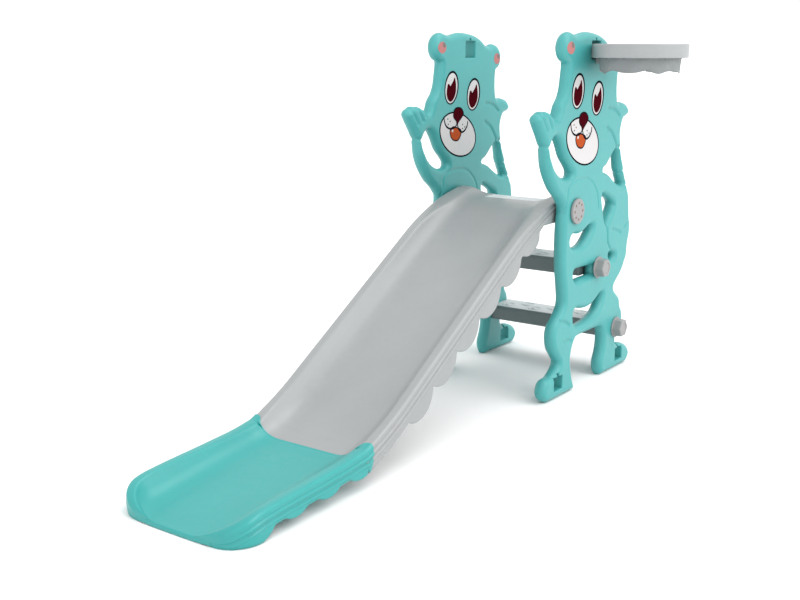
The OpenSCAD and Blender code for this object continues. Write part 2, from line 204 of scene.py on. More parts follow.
class Map:
    """A signed distance to segments on a fine grid, positive inside, read by bilinear samples."""

    def __init__(self, low, high, step=1.0):
        self.low, self.step = np.asarray(low, float), step
        self.n = np.ceil((np.asarray(high) - self.low) / step).astype(int) + 1
        self.x = self.low[0] + step * np.arange(self.n[0])
        self.z = self.low[1] + step * np.arange(self.n[1])

    def distance(self, segments, reach=30.0, closed=True):
        best = np.full(self.n, float(reach))
        for a, b in segments:
            lo = np.floor((np.minimum(a, b) - reach - self.low) / self.step).astype(int).clip(0)
            hi = np.ceil((np.maximum(a, b) + reach - self.low) / self.step).astype(int) + 1
            x, z = self.x[lo[0]:hi[0], None], self.z[None, lo[1]:hi[1]]
            if not (x.size and z.size):
                continue
            d = b - a
            t = (((x - a[0]) * d[0] + (z - a[1]) * d[1]) / max(d @ d, 1e-12)).clip(0, 1)
            away = np.hypot(x - a[0] - t * d[0], z - a[1] - t * d[1])
            window = best[lo[0]:hi[0], lo[1]:hi[1]]
            np.minimum(window, away, out=window)
        if closed:
            inside = np.zeros(self.n, bool)
            for j, z in enumerate(self.z + 1e-4):
                hit = (segments[:, 0, 1] < z) != (segments[:, 1, 1] < z)
                a, b = segments[hit, 0], segments[hit, 1]
                x = a[:, 0] + (z - a[:, 1]) / (b[:, 1] - a[:, 1]) * (b[:, 0] - a[:, 0])
                inside[:, j] = np.searchsorted(np.sort(x), self.x) % 2 == 1
            best = np.where(inside, best, -best)
        return best

    def read(self, grid, x, z):
        u = ((x - self.low[0]) / self.step).clip(0, self.n[0] - 1.001)
        v = ((z - self.low[1]) / self.step).clip(0, self.n[1] - 1.001)
        i, j = u.astype(int), v.astype(int)
        u, v = u - i, v - j
        return (grid[i, j] * (1 - u) * (1 - v) + grid[i + 1, j] * u * (1 - v)
                + grid[i, j + 1] * (1 - u) * v + grid[i + 1, j + 1] * u * v)


def curve(points, steps=8):
    """A smooth open line through every point."""
    p = np.asarray(points, float)
    p = np.concatenate([[2 * p[0] - p[1]], p, [2 * p[-1] - p[-2]]])
    t = np.arange(steps)[:, None] / steps
    out = []
    for a, b, c, d in zip(p, p[1:], p[2:], p[3:]):
        squared = (2 * a - 5 * b + 4 * c - d) * t ** 2
        cubed = (3 * b - a - 3 * c + d) * t ** 3
        out.append(0.5 * (2 * b + (c - a) * t + squared + cubed))
    return np.concatenate(out + [p[-2:-1]])


# ------ materials
def node(tree, kind, **inputs):
    n = tree.nodes.new("ShaderNode" + kind)
    for key, value in inputs.items():
        n.inputs[key.replace("_", " ")].default_value = value
    return n


def new_material(name):
    """A material with its node tree and its Principled BSDF."""
    mat = bpy.data.materials.new(name)
    mat.use_nodes = True
    return mat, mat.node_tree, mat.node_tree.nodes["Principled BSDF"]


def noise(tree, scale, detail):
    """Noise over the object's own coordinates."""
    n = node(tree, "TexNoise", Scale=scale, Detail=detail)
    tree.links.new(tree.nodes.new("ShaderNodeTexCoord").outputs["Object"], n.inputs["Vector"])
    return n.outputs["Fac"]


def mix(tree, factor, a, b):
    """A colour mix; factor is a socket or a number, a and b are sockets or colours."""
    n = tree.nodes.new("ShaderNodeMix")
    n.data_type = "RGBA"
    for socket, value in ((n.inputs["Factor"], factor), (n.inputs["A"], a), (n.inputs["B"], b)):
        if isinstance(value, bpy.types.NodeSocket):
            tree.links.new(value, socket)
        else:
            socket.default_value = value
    return n.outputs["Result"]


def bump(tree, height, strength, distance):
    """A bump node over a height, with distance in metres."""
    n = node(tree, "Bump", Strength=strength, Distance=distance)
    tree.links.new(height, n.inputs["Height"])
    return n


def remap(tree, socket, lo, hi, to_lo, to_hi):
    n = node(tree, "MapRange", From_Min=lo, From_Max=hi, To_Min=to_lo, To_Max=to_hi)
    tree.links.new(socket, n.inputs["Value"])
    return n.outputs["Result"]


def shade(colour, k):
    """A colour made k times as bright, with its alpha."""
    return (colour[0] * k, colour[1] * k, colour[2] * k, 1.0)


def plastic(name, colour, rough=0.42, grain=0.03, wave=0.6, specular=0.5):
    """Moulded polyethylene: cloudy colour, paler edges, painted shade in corners and creases, fine grain and
    a slow ripple.

    grain and wave are the heights of the grain and of the ripple in millimetres.
    """
    mat, t, bsdf = new_material(name)
    mottle = noise(t, 70, 4)
    tone = mix(t, noise(t, 9, 3), shade(colour, 0.94), shade(colour, 1.06))
    tone = mix(t, remap(t, mottle, 0.35, 0.75, 0, 0.12), tone, shade(colour, 1.25))
    # Painted shade: an ambient occlusion node darkens the colour in corners and creases, where shade falls
    corner = node(t, "AmbientOcclusion", Distance=0.012)
    corner.samples = 4
    tone = mix(t, remap(t, corner.outputs["AO"], 0.35, 0.9, 0.35, 0), tone, shade(colour, 0.55))
    worn = t.nodes.new("ShaderNodeNewGeometry").outputs["Pointiness"]
    tone = mix(t, remap(t, worn, 0.52, 0.62, 0, 0.25), tone, shade(colour, 1.35))
    t.links.new(tone, bsdf.inputs["Base Color"])
    # Roughness that varies across about 0.27 denoises into dark dashes, so rough is never under 0.34
    t.links.new(remap(t, mottle, 0.3, 0.7, rough - 0.05, rough + 0.06), bsdf.inputs["Roughness"])
    bsdf.inputs["Specular IOR Level"].default_value = specular
    ripple = bump(t, noise(t, 16, 1), 0.35, 0.001 * wave)
    grained = bump(t, noise(t, 1100, 2), 0.5, 0.001 * grain)
    t.links.new(ripple.outputs["Normal"], grained.inputs["Normal"])
    t.links.new(grained.outputs["Normal"], bsdf.inputs["Normal"])
    return mat


def print_ink(name, colour):
    """Matt printed vinyl with a faint halftone mottle."""
    mat, t, bsdf = new_material(name)
    dots = noise(t, 160, 3)
    t.links.new(mix(t, dots, shade(colour, 0.93), shade(colour, 1.05)), bsdf.inputs["Base Color"])
    t.links.new(remap(t, dots, 0.3, 0.7, 0.38, 0.5), bsdf.inputs["Roughness"])
    bsdf.inputs["Specular IOR Level"].default_value = 0.0
    t.links.new(bump(t, dots, 0.1, 0.00005).outputs["Normal"], bsdf.inputs["Normal"])
    return mat


teal = plastic("panel_teal", (0.052, 0.315, 0.31), rough=0.4)
runout = plastic("runout_teal", (0.012, 0.28, 0.268), rough=0.34, specular=0.65)
pale = plastic("chute_grey", (0.265, 0.275, 0.278), rough=0.34, wave=0.4, specular=0.65)
# Partly the platform's own pale grey, partly a painted highlight: the colour is whitened to stand in for
# bright light on its top
pale_deck_painted_highlight = plastic("platform_grey", (0.62, 0.64, 0.65))
# Painted light and shade: a step's fronts and ends get a dark grey and its top a pale one, standing in for
# the light falling on the tread
step_painted_shade = plastic("step_grey", (0.14, 0.17, 0.172), rough=0.45, grain=0.06)
tread = plastic("tread_grey_painted_light", (0.52, 0.54, 0.545), rough=0.5, grain=0.06)
knob_grey = plastic("knob_grey", (0.255, 0.25, 0.25), wave=0.1)
knob_pit = plastic("knob_pit", (0.2, 0.14, 0.12), rough=0.5, wave=0.1)
dark = plastic("insert_grey", (0.05, 0.05, 0.05), rough=0.5, wave=0.1)
hoop_grey = plastic("hoop_grey", (0.31, 0.325, 0.33), rough=0.38, wave=0.1)
ink_white = print_ink("sticker_white", (0.56, 0.545, 0.545))
ink_black = print_ink("sticker_black", (0.008, 0.008, 0.012))
ink_red = print_ink("sticker_red", (0.052, 0.003, 0.006))
ink_tongue = print_ink("sticker_tongue", (0.4, 0.075, 0.025))
ink_pink = print_ink("sticker_pink", (0.43, 0.18, 0.175))
# Painted shadow: the dark spot on each ear stands in for the shade inside the ear's hollow
ink_painted_shadow = print_ink("sticker_painted_shadow", (0.2, 0.16, 0.15))


def steel_material():
    """Steel with a fine mottle."""
    mat, t, bsdf = new_material("screw_steel")
    mottle = noise(t, 900, 4)
    t.links.new(mix(t, mottle, (0.35, 0.35, 0.36, 1), (0.62, 0.62, 0.6, 1)), bsdf.inputs["Base Color"])
    t.links.new(remap(t, mottle, 0.3, 0.7, 0.25, 0.45), bsdf.inputs["Roughness"])
    bsdf.inputs["Metallic"].default_value = 1.0
    return mat


def net_material():
    """Woven polyester: fine crossing threads, laid out along the net's UV map."""
    mat, t, bsdf = new_material("net_cord")
    where = t.nodes.new("ShaderNodeUVMap").outputs["UV"]
    heights = []
    for way in ("X", "Y"):
        wave = node(t, "TexWave", Scale=0.32, Distortion=0.4, Detail=1)
        wave.bands_direction = way
        t.links.new(where, wave.inputs["Vector"])
        heights.append(wave.outputs["Fac"])
    weave = mix(t, 0.5, heights[0], heights[1])
    tone = mix(t, weave, (0.17, 0.185, 0.188, 1), (0.28, 0.3, 0.303, 1))
    t.links.new(tone, bsdf.inputs["Base Color"])
    bsdf.inputs["Roughness"].default_value = 0.8
    bsdf.inputs["Sheen Weight"].default_value = 0.25
    t.links.new(bump(t, weave, 0.6, 0.0004).outputs["Normal"], bsdf.inputs["Normal"])
    return mat


steel = steel_material()
net_cloth = net_material()

# ------ side panels
EDGE_R = PANEL_T / 2  # the panels' edges are full half-rounds
SCREWS = {"top": (172, 547), "middle": (330, 357), "lower": (474, 140)}
# Slots in the forehead and in both feet, as boxes: middle and half size in X and Z
SLOTS = [((264, 1000), (28.5, 25.5)), ((264, 1029), (4.5, 5)), ((97, 47), (25.5, 20.5)),
         ((97, 72), (5.5, 5.5)), ((508, 45), (25.5, 20.5)), ((508, 70), (5.5, 5.5))]
# Moulded creases: points, half width and depth
CREASES = [
    ([[112, 548], [115, 580], [122, 622], [160, 636], [207, 638], [249, 631], [286, 608], [308, 580],
      [318, 540]], 4.5, 2.4),
    ([[-30, 747], [-8, 744], [3, 741], [18, 741]], 4.5, 3.2),
    ([[357, 775], [395, 755], [430, 714]], 5, 4.5),
    ([[363, 833], [407, 825], [438, 806]], 5, 4.5),
    ([[445, 715], [457, 708], [480, 702]], 4, 3.6),
    ([[99, 232], [126, 226], [153, 212]], 5, 4.2),
    ([[122, 166], [145, 166], [168, 161]], 5, 3.0),
    ([[378, 494], [389, 456], [394, 424], [411, 404]], 5, 4.0),
    ([[422, 461], [452, 453], [480, 444]], 5, 3.4),
    ([[355, 578], [395, 560], [433, 535]], 6, 3.4),
    ([[-46, 838], [-34, 815], [-18, 795], [-14, 788]], 5, 3.6),
    ([[-18, 846], [-6, 822], [4, 806], [12, 796]], 5, 3.6),
    ([[14, 838], [20, 820], [28, 806]], 4.5, 3.2),
    ([[-35, 72], [-14, 64], [10, 60]], 5, 2.8),
    ([[503, 640], [488, 636], [478, 628]], 4, 2.8),
    ([[527, 590], [510, 588], [500, 580]], 4, 2.8),
    ([[540, 470], [522, 466], [510, 458]], 4, 2.4),
]


def soft_max(a, b, k):
    """The larger of a and b, blended where they are within k of each other."""
    h = (k - np.abs(a - b)).clip(0) / k
    return np.maximum(a, b) + h * h * k / 4


class Panel:
    """A side panel as a solid: the CAD outline with half-round edges, creases and slots."""

    def __init__(self):
        edges = cut("side_panel_right", PANEL_T / 2 + 0.3)
        inner = np.zeros(len(edges), bool)
        for middle in SCREWS.values():
            inner |= near(edges, middle, 10)
        for middle, half in SLOTS:
            inner |= near(edges, middle, np.add(half, 0.6))
        self.map = Map((-90, -30), (625, 1080))
        self.depth = self.map.distance(edges[~inner])
        self.slots = self.map.distance(edges[inner], 12)
        self.relief = np.zeros(self.map.n)
        for points, half_width, deep in CREASES:
            line = curve(points)
            away = self.map.distance(np.stack([line[:-1], line[1:]], 1), 20, closed=False)
            self.relief += deep * np.exp(-(away / half_width) ** 2)

    def value(self, y, depth, slots, relief):
        """Below 0 inside the moulding, at y from the panel's middle plane."""
        body = np.hypot((EDGE_R - depth).clip(0), y) - EDGE_R + relief
        return soft_max(body, slots, 4.0)

    def at(self, p):
        x, z = p[:, 0], p[:, 2]
        grids = [self.map.read(g, x, z) for g in (self.depth, self.slots, self.relief)]
        return self.value(p[:, 1] - PANEL_T / 2, *grids)

    def slope(self, p, e=0.4):
        eye = np.eye(3) * e
        return np.stack([self.at(p + eye[i]) - self.at(p - eye[i]) for i in range(3)], 1) / (2 * e)

    def height(self, x, z):
        """How far the face stands from the middle of the panel."""
        short = (EDGE_R - self.map.read(self.depth, x, z)).clip(0, EDGE_R)
        round_face = np.sqrt(EDGE_R ** 2 - short ** 2)
        return round_face - self.map.read(self.relief, x, z)

    def build(self, step=3.0):
        low = np.array([self.map.x[0], -EDGE_R - 1.6 * step, self.map.z[0]])
        high = np.array([self.map.x[-1], EDGE_R + 1.6 * step, self.map.z[-1]])
        n = np.ceil((high - low) / step).astype(int)
        x, y, z = (low[i] + step * np.arange(n[i]) for i in range(3))
        gx, gz = np.meshgrid(x, z, indexing="ij")
        grids = [self.map.read(g, gx, gz)[:, None, :] for g in (self.depth, self.slots, self.relief)]
        field = self.value(y[None, :, None], *grids)
        verts, quads = surface_net(field.astype(np.float32), low, step)
        verts[:, 1] += PANEL_T / 2
        for _ in range(3):  # settle the vertices on the exact surface
            g = self.slope(verts)
            verts -= (self.at(verts) / (g * g).sum(1).clip(0.2))[:, None] * g
        g = self.slope(verts)
        return verts, quads, g / np.linalg.norm(g, axis=1)[:, None].clip(1e-6)


panel = Panel()
panel_verts, panel_quads, panel_normals = panel.build()
for side, shift in (("right", 0), ("left", FAR_Y - PANEL_T)):
    placed = panel_verts + [0, shift, 0]
    shell = make_mesh(f"bear_panel_{side}", placed, panel_quads, teal, normals=panel_normals)
    finish_piece(shell, "frame", [f"side_panel_{side}"])


# ------ face stickers
INK_SINK = 0.6  # the edges of a print go this far into the panel's face


def turned(points, centre, degrees):
    a = math.radians(degrees)
    return np.asarray(points, float) @ [[math.cos(a), math.sin(a)], [-math.sin(a), math.cos(a)]] + centre


def oval(centre, a, b, degrees, count=72):
    t = np.linspace(0, 2 * math.pi, count, endpoint=False)
    return turned(np.stack([a * np.cos(t), b * np.sin(t)], 1), centre, degrees)


def closed_curve(points):
    """A smooth closed line through every point."""
    p = np.asarray(points, float)
    line = curve(np.concatenate([p[-2:], p, p[:2]]), 8)
    return line[2 * 8:(len(p) + 2) * 8]


def patch(outline, lift, rows=7):
    """A printed shape draped on the panel's face: [x, height off the face, z] and faces."""
    outline = np.asarray(outline, float)
    middle = outline.mean(0)
    scale = list(np.linspace(0.04, 1, rows)) + [1.0]
    rings = [middle + (outline - middle) * s for s in scale]
    lifts = [lift] * rows + [-INK_SINK]
    rings = [at_y(ring, up) for ring, up in zip(rings, lifts)]
    verts, faces = skin(rings, cap=False)
    return verts, faces + [list(range(len(outline)))]


def stroke(points, width, lift, closed=False):
    """A printed line: width is one number or one for each point."""
    p = np.asarray(points, float)
    if closed:
        way = np.roll(p, -1, 0) - np.roll(p, 1, 0)
    else:
        way = np.concatenate([p[1:], p[-1:]]) - np.concatenate([p[:1], p[:-1]])
    way /= np.linalg.norm(way, axis=1)[:, None].clip(1e-9)
    off = np.stack([-way[:, 1], way[:, 0]], 1) * (np.broadcast_to(width, len(p)) / 2)[:, None]
    rows = []
    for line, up in ((p - off, -INK_SINK), (p - off, lift), (p + off, lift), (p + off, -INK_SINK)):
        rows.append(at_y(line, up))
    rings = np.stack(rows, 1)
    verts, cols = rings.reshape(-1, 3), 4
    faces = ring_faces(len(p), cols, close_rows=closed)
    if not closed:
        faces += [[3, 2, 1, 0], [(len(p) - 1) * cols + k for k in range(cols)]]
    return verts, faces


def eye_parts(centre):
    """An eye: white oval with a heavy line on one side, dark iris and a flame-shaped highlight."""
    spin = -14
    rim = oval(centre, 35, 48, spin)
    t = np.linspace(0, 2 * math.pi, len(rim), endpoint=False)
    heavy = 3.4 + 3.2 * (1 + np.cos(t - math.radians(60))) / 2
    iris = closed_curve(turned([[-23, 4], [-15, 8], [-9, 2], [-1, 14], [4, 22], [9, 34], [17, 24], [24, 8],
                                [26, -12], [18, -31], [4, -41], [-11, -37], [-22, -22]], centre, spin))
    glint = closed_curve(turned([[-14, 12], [-8, 26], [0, 32], [1, 20], [-5, 9], [-11, 6]], centre, spin))
    return [(ink_white, patch(rim, 0.3)), (ink_red, patch(iris, 0.5)), (ink_white, patch(glint, 0.62)),
            (ink_black, stroke(rim, heavy, 0.7, closed=True))]


def ear_parts(centre, a, b):
    """The pink inset of an ear, a by b, with a painted shadow near its top."""
    x, z = centre
    return [(ink_pink, patch(oval(centre, a, b, 0), 0.3)),
            # the second patch is the painted shadow near the top of the inset
            (ink_painted_shadow, patch(oval((x + a * 0.45, z + b * 0.42), a * 0.4, b * 0.42, -30, 36), 0.5))]


def face_parts():
    """Every printed shape of one face, as (ink, (verts, faces))."""
    muzzle = oval((198, 745), 104, 64, -17)
    nose = closed_curve([[170, 806], [176, 821], [194, 827], [214, 823], [226, 809], [217, 797], [202, 786],
                         [191, 776], [186, 787], [174, 796]])
    tongue = closed_curve([[152, 757], [166, 769], [190, 766], [213, 757], [211, 741], [197, 728], [177, 728],
                           [159, 738]])
    parts = eye_parts((158, 887)) + eye_parts((283, 863))
    parts += [(ink_white, patch(muzzle, 0.3)), (ink_black, stroke(muzzle, 4.6, 0.62, closed=True))]
    parts += [(ink_tongue, patch(tongue, 0.45)), (ink_black, stroke(tongue, 4, 0.6, closed=True)),
              (ink_white, patch(oval((166, 758), 5, 4, 20, 24), 0.66))]
    for line in ([[117, 803], [124, 782], [137, 770], [156, 765], [178, 768], [191, 778]],
                 [[192, 777], [201, 760], [218, 751], [236, 756], [249, 770], [251, 783]]):
        lip_line = curve(line)
        width = 3 + 2.4 * np.sin(np.linspace(0.3, math.pi - 0.3, len(lip_line)))
        parts.append((ink_black, stroke(lip_line, width, 0.75)))
    parts += [(ink_red, patch(nose, 0.8)), (ink_black, stroke(nose, 3.4, 0.95, closed=True))]
    for dot in ((139, 795), (152, 787), (142, 779), (222, 774), (235, 766), (222, 762)):
        parts.append((ink_black, patch(oval(dot, 2.3, 2.3, 0, 16), 0.6, 3)))
    parts += ear_parts((107, 1006), 21, 17) + ear_parts((422, 971), 18, 17)
    return parts


FACE = face_parts()
INKS = list(dict.fromkeys(ink for ink, _ in FACE))
face_verts, face_faces = join([part for _, part in FACE])
face_inks = np.concatenate([np.full(len(faces), INKS.index(ink)) for ink, (_, faces) in FACE])
face_height = panel.height(face_verts[:, 0], face_verts[:, 2]) + face_verts[:, 1]
for side, shift in (("right", PANEL_T / 2), ("left", FAR_Y - PANEL_T / 2)):
    for face, out in (("outer", -1 if side == "right" else 1), ("inner", 1 if side == "right" else -1)):
        verts = at_y(face_verts[:, [0, 2]], shift + out * face_height)
        art = make_mesh(f"face_stickers_{side}_{face}", verts, face_faces, INKS, face_inks)
        finish_piece(art, "frame", [f"stickers_{side}_{face}"])

# ------ chute
CHUTE_HALF = 190.0
BED_HALF = 90.0  # half of the flat bed's width
WALL_R = 80.0  # the curve from the bed up to the rim
BED_T = 12.0
FLANK_T = 12.0  # the skirt on each side, from its outer to its inner face
SKIRT_R = 5.0  # how far the skirt's rounded lower edge reaches down
STATION = 4.5  # between sections of the upper chute
DECK_TOP = 562
LAP_T = 1.9  # how far the run-out's collar stands off the upper chute
FRONT_X = -1208.0
NOSE = 3.0  # from the last full section to the front edge
CORNER_R = 75.0  # the front corners, seen from above


def walk(start, pieces, step):
    """Points and upward normals along a path of (length, slope at its end) pieces."""
    length = np.concatenate([[0], np.cumsum([p[0] for p in pieces])])
    slopes = np.radians([pieces[0][1]] + [p[1] for p in pieces])
    fine = np.linspace(0, length[-1], 4001)
    a = np.interp(fine, length, slopes)
    d = np.stack([-np.cos(a), -np.sin(a)], 1)
    p = np.concatenate([[[0, 0]], np.cumsum((d[1:] + d[:-1]) / 2 * np.diff(fine)[:, None], 0)]) + start
    s = np.linspace(0, length[-1], int(round(length[-1] / step)) + 1)
    a = np.interp(s, fine, a)
    points = np.stack([np.interp(s, fine, p[:, 0]), np.interp(s, fine, p[:, 1])], 1)
    return points, np.stack([-np.sin(a), np.cos(a)], 1)


def rim_and_skirt(edges, points, normals):
    """Heights of the rim line and of the skirt's lower edge over the bed, at each station."""
    crest, foot = np.full(len(points), np.nan), np.full(len(points), np.nan)
    for k, (p, n) in enumerate(zip(points, normals)):
        side = (edges - p) @ np.array([n[1], -n[0]])
        hit = (side[:, 0] < 0) != (side[:, 1] < 0)
        t = side[hit, 0] / (side[hit, 0] - side[hit, 1])
        at = edges[hit, 0] + t[:, None] * (edges[hit, 1] - edges[hit, 0])
        h = np.sort((at - p) @ n)[::-1]
        if len(h) >= 2 and h[0] > 1:
            crest[k], foot[k] = h[0], h[1]
    return fill(crest), fill(foot)


def fill(values):
    """The values with gaps filled in along a straight line."""
    ok = np.flatnonzero(~np.isnan(values))
    return np.interp(np.arange(len(values)), ok, values[ok])


def wall_and_rim(crest, k):
    """From the bed's edge up the hollow wall, over the flat rim and down to its outer flank."""
    lean = math.acos(max(0.0, 1 - max(crest - 7 * k, 0.2) / WALL_R))
    line = [[BED_HALF + WALL_R * math.sin(a), WALL_R * (1 - math.cos(a))] for a in np.linspace(0, lean, 13)]
    start, crown = np.array(line[-1]), np.array([167.0, crest])
    reach = start[0] + (crest - start[1]) * math.cos(lean) / max(math.sin(lean), 0.2)
    turn = np.array([min(reach, 164.0), crest])
    for t in np.linspace(0, 1, 7)[1:]:
        line.append(((1 - t) ** 2 * start + 2 * t * (1 - t) * turn + t * t * crown).tolist())
    line.append([173.5, crest + 0.3 * k])
    for a in np.radians(np.linspace(90, 0, 8)):
        line.append([180 + 7.5 * math.cos(a), crest - 8 * k + 8 * k * math.sin(a)])
    return line, lean


def chute_ring(crest, foot, half, grow=0.0, bed_t=BED_T):
    """One closed section of the chute: [distance from the middle, height over the bed].

    crest and foot are the heights of the rim and of the skirt's lower edge; grow thickens the section.
    """
    crest = max(crest, 0.5)
    k = min(1.0, (crest + 8) / 36)
    line, lean = wall_and_rim(crest, k)
    top = [[x, 0] for x in np.linspace(0, BED_HALF, 7)[:-1]] + line
    beads = [[187.3, -13], [187, -16], [188.6, -17.6], [190.4, -19], [190.8, -21], [190, -23], [187.4, -25],
             [187, -28], [187.4, -31], [190, -33], [190.8, -35], [190.4, -37], [189.4, -39]]
    top += [[x, crest + h * k] for x, h in beads]
    low = min(foot + SKIRT_R, crest - 41 * k)
    for h in np.linspace(crest - 39 * k, low, 8)[1:]:
        top.append([CHUTE_HALF, h])
    for a in np.radians(np.linspace(0, -180, 8)[1:-1]):
        top.append([CHUTE_HALF - FLANK_T / 2 * (1 - math.cos(a)), low + SKIRT_R * math.sin(a)])
    inner = CHUTE_HALF - FLANK_T
    under = [[inner, low]]
    for h in np.linspace(low, crest - 16 * k, 7)[1:]:
        under.append([inner, h])
    under.append([inner - 6, crest - 12 * k])
    outer_r = WALL_R + BED_T
    for a in np.linspace(lean, 0, 10):
        height = min(WALL_R - outer_r * math.cos(a), max(BED_T - bed_t, -bed_t + 40 * math.sin(a)))
        under.append([BED_HALF + outer_r * math.sin(a) * 0.98, height])
    under += [[x, -bed_t] for x in np.linspace(BED_HALF, 0, 7)[1:]]
    ring = np.array(top + under)
    ring[:, 0] *= half / CHUTE_HALF
    ring = np.concatenate([ring, ring[-2:0:-1] * [-1, 1]])
    if grow:
        way = np.roll(ring, -1, 0) - np.roll(ring, 1, 0)
        way /= np.linalg.norm(way, axis=1)[:, None].clip(1e-6)
        ring = ring + grow * np.stack([-way[:, 1], way[:, 0]], 1)
    return ring


def chute_rings(points, normals, crest, foot, half, grow, bed_t=BED_T):
    """The chute's sections in place; all but points and normals may be one number for every section."""
    sizes = [np.broadcast_to(value, len(points)) for value in (crest, foot, half, grow, bed_t)]
    rings = []
    for p, n, *size in zip(points, normals, *sizes):
        ring = chute_ring(*size)
        rings.append(at_y(p + ring[:, 1:] * n, MID_Y + ring[:, 0]))
    return np.array(rings)


def chute_skin(rings):
    """A closed surface through chute sections; strips from the top face to the underside fill the ends."""
    verts, faces = skin(rings, cap=False)
    cols = rings.shape[1]
    for start in (0, len(verts) - cols):
        ring = verts[start:start + cols]
        i, j = 0, cols // 2
        while i + 1 < j:
            if np.linalg.norm(ring[i + 1] - ring[j]) < np.linalg.norm(ring[i] - ring[j - 1]):
                face = [i, i + 1, j]
                i += 1
            else:
                face = [i, j - 1, j]
                j -= 1
            faces.append([start + k for k in face])
            faces.append([start + (cols - k) % cols for k in face[::-1]])
    return verts, faces


def rounded(corners, between, arc=5):
    """A closed outline through corners (a, b, radius) with fillets and extra points along each edge."""
    p = np.array([c[:2] for c in corners], float)
    arcs = []
    for i, r in enumerate(c[2] for c in corners):
        a, b = p[i - 1] - p[i], p[(i + 1) % len(p)] - p[i]
        a, b = a / np.linalg.norm(a), b / np.linalg.norm(b)
        half = math.acos(np.clip(a @ b, -1, 1)) / 2
        middle = p[i] + (a + b) / np.linalg.norm(a + b) * r / math.sin(half)
        start, end = (p[i] + w * r / math.tan(half) - middle for w in (a, b))
        t = np.linspace(0, 1, arc + 1)[:, None]
        way = (1 - t) * start + t * end
        arcs.append(middle + way * r / np.linalg.norm(way, axis=1)[:, None])
    out = []
    for i, n in enumerate(between):
        start, end = arcs[i][-1], arcs[(i + 1) % len(p)][0]
        out += [arcs[i], start + (end - start) * np.linspace(0, 1, n + 2)[1:-1, None]]
    return np.concatenate(out)


def block(low, high, r=2.0):
    """A box with rounded edges, swept along Y."""
    (x0, y0, z0), (x1, y1, z1) = low, high
    ends = np.radians(np.linspace(90, 0, 5))
    stations = [(y0 + r * (1 - math.sin(a)), r * (1 - math.cos(a))) for a in ends]
    stations += [(y1 - r * (1 - math.sin(a)), r * (1 - math.cos(a))) for a in ends[::-1]]
    rings = []
    for y, inset in stations:
        e = max(r - inset, 0.3)
        left, right, bottom, top = x0 + inset, x1 - inset, z0 + inset, z1 - inset
        corners = [(left, bottom, e), (right, bottom, e), (right, top, e), (left, top, e)]
        flat = rounded(corners, (1, 1, 1, 1))
        rings.append(at_y(flat, y))
    return skin(rings)


# The chute's path: degrees below level on the straight, where it meets the run-out, and of the run-out
SLOPE, END_SLOPE = 31.7, 10.4
LOW_ANGLE = math.radians(6.27)
TOP_BEND = 250 * math.radians(SLOPE)  # length of the bend at the top, 250 in radius
LOW_BEND = 487 * math.radians(SLOPE - END_SLOPE)  # and of the one at the bottom, 487 in radius
JOINT = np.array([-768.0, 60.0])  # X and Z of the bed where the two pieces meet
path = [(12, 0), (TOP_BEND, SLOPE), (760.4, SLOPE), (LOW_BEND, END_SLOPE)]
points, normals = walk([190, DECK_TOP], path, STATION)
FLANK_CUT_Y = 48  # a plane through the chute's right flank
side = cut("chute_upper", FLANK_CUT_Y)
crest, foot = rim_and_skirt(side[~near(side, SCREWS["top"], 10)], points, normals)
lapped = ((np.arange(len(points)) - len(points) + 15) / 4).clip(0, 1)  # thinner inside the run-out's collar
rings = chute_rings(points, normals, crest, foot, CHUTE_HALF, -0.7 * lapped)

# A tongue of the upper chute reaches under the end of the run-out
along = np.array([-math.cos(LOW_ANGLE), -math.sin(LOW_ANGLE)])
lap_verts, lap_faces = block([0, MID_Y - 80, 0], [68, MID_Y + 80, 5.8])
lap_way = lap_verts[:, :1] - 8
lap_up = lap_verts[:, 2:] - BED_T - 6.1
lap_xz = JOINT + lap_way * along + lap_up * [along[1], -along[0]]
tongue = at_y(lap_xz, lap_verts[:, 1]), lap_faces

RIM_END_X, RIM_END_LENGTH = 186, 74
RIM_END_LOW, RIM_END_DROP = 0.8, 23.2  # its height at the tip and how far it comes down to that


def rim_end(way):
    """The rim running out along one side of the platform."""
    rings = []
    for t in np.linspace(0, 1, 20):
        share = 0.5 + 0.5 * math.cos(math.pi * max(0, t - 0.4) / 0.6)
        high = RIM_END_LOW + RIM_END_DROP * share
        line, _ = wall_and_rim(high, min(1.0, (high + 8) / 36))
        ring = np.array([[line[0][0], -5]] + line + [[187.5, -5]])
        x = np.full(len(ring), RIM_END_X + RIM_END_LENGTH * t)
        rings.append(np.column_stack([x, MID_Y + way * ring[:, 0], DECK_TOP + 0.2 + ring[:, 1]]))
    return skin(rings)


upper_parts = [chute_skin(rings), tongue, rim_end(1), rim_end(-1)]
upper = make_mesh("chute_shell_upper", *join(upper_parts), pale)
finish_piece(upper, "frame", ["chute_upper"])

# The run-out's collar laps over the end of the upper chute; its first scallop rounds off the flanks
SCALLOP_X, SCALLOP_Z, SCALLOP_R = -795.0, 92.0, 62.0
BED_LAP = 5  # how far back the collar reaches on the bed
collar_foot = SCALLOP_Z - math.sqrt(SCALLOP_R ** 2 - (JOINT[0] - SCALLOP_X) ** 2) - JOINT[1]


def end_rings(grow):
    """The last stretch of the upper chute's sections, thicker or thinner, down to the scallop's foot."""
    n = 16
    return chute_rings(points[-n:], normals[-n:], crest[-n:], collar_foot, CHUTE_HALF, grow)


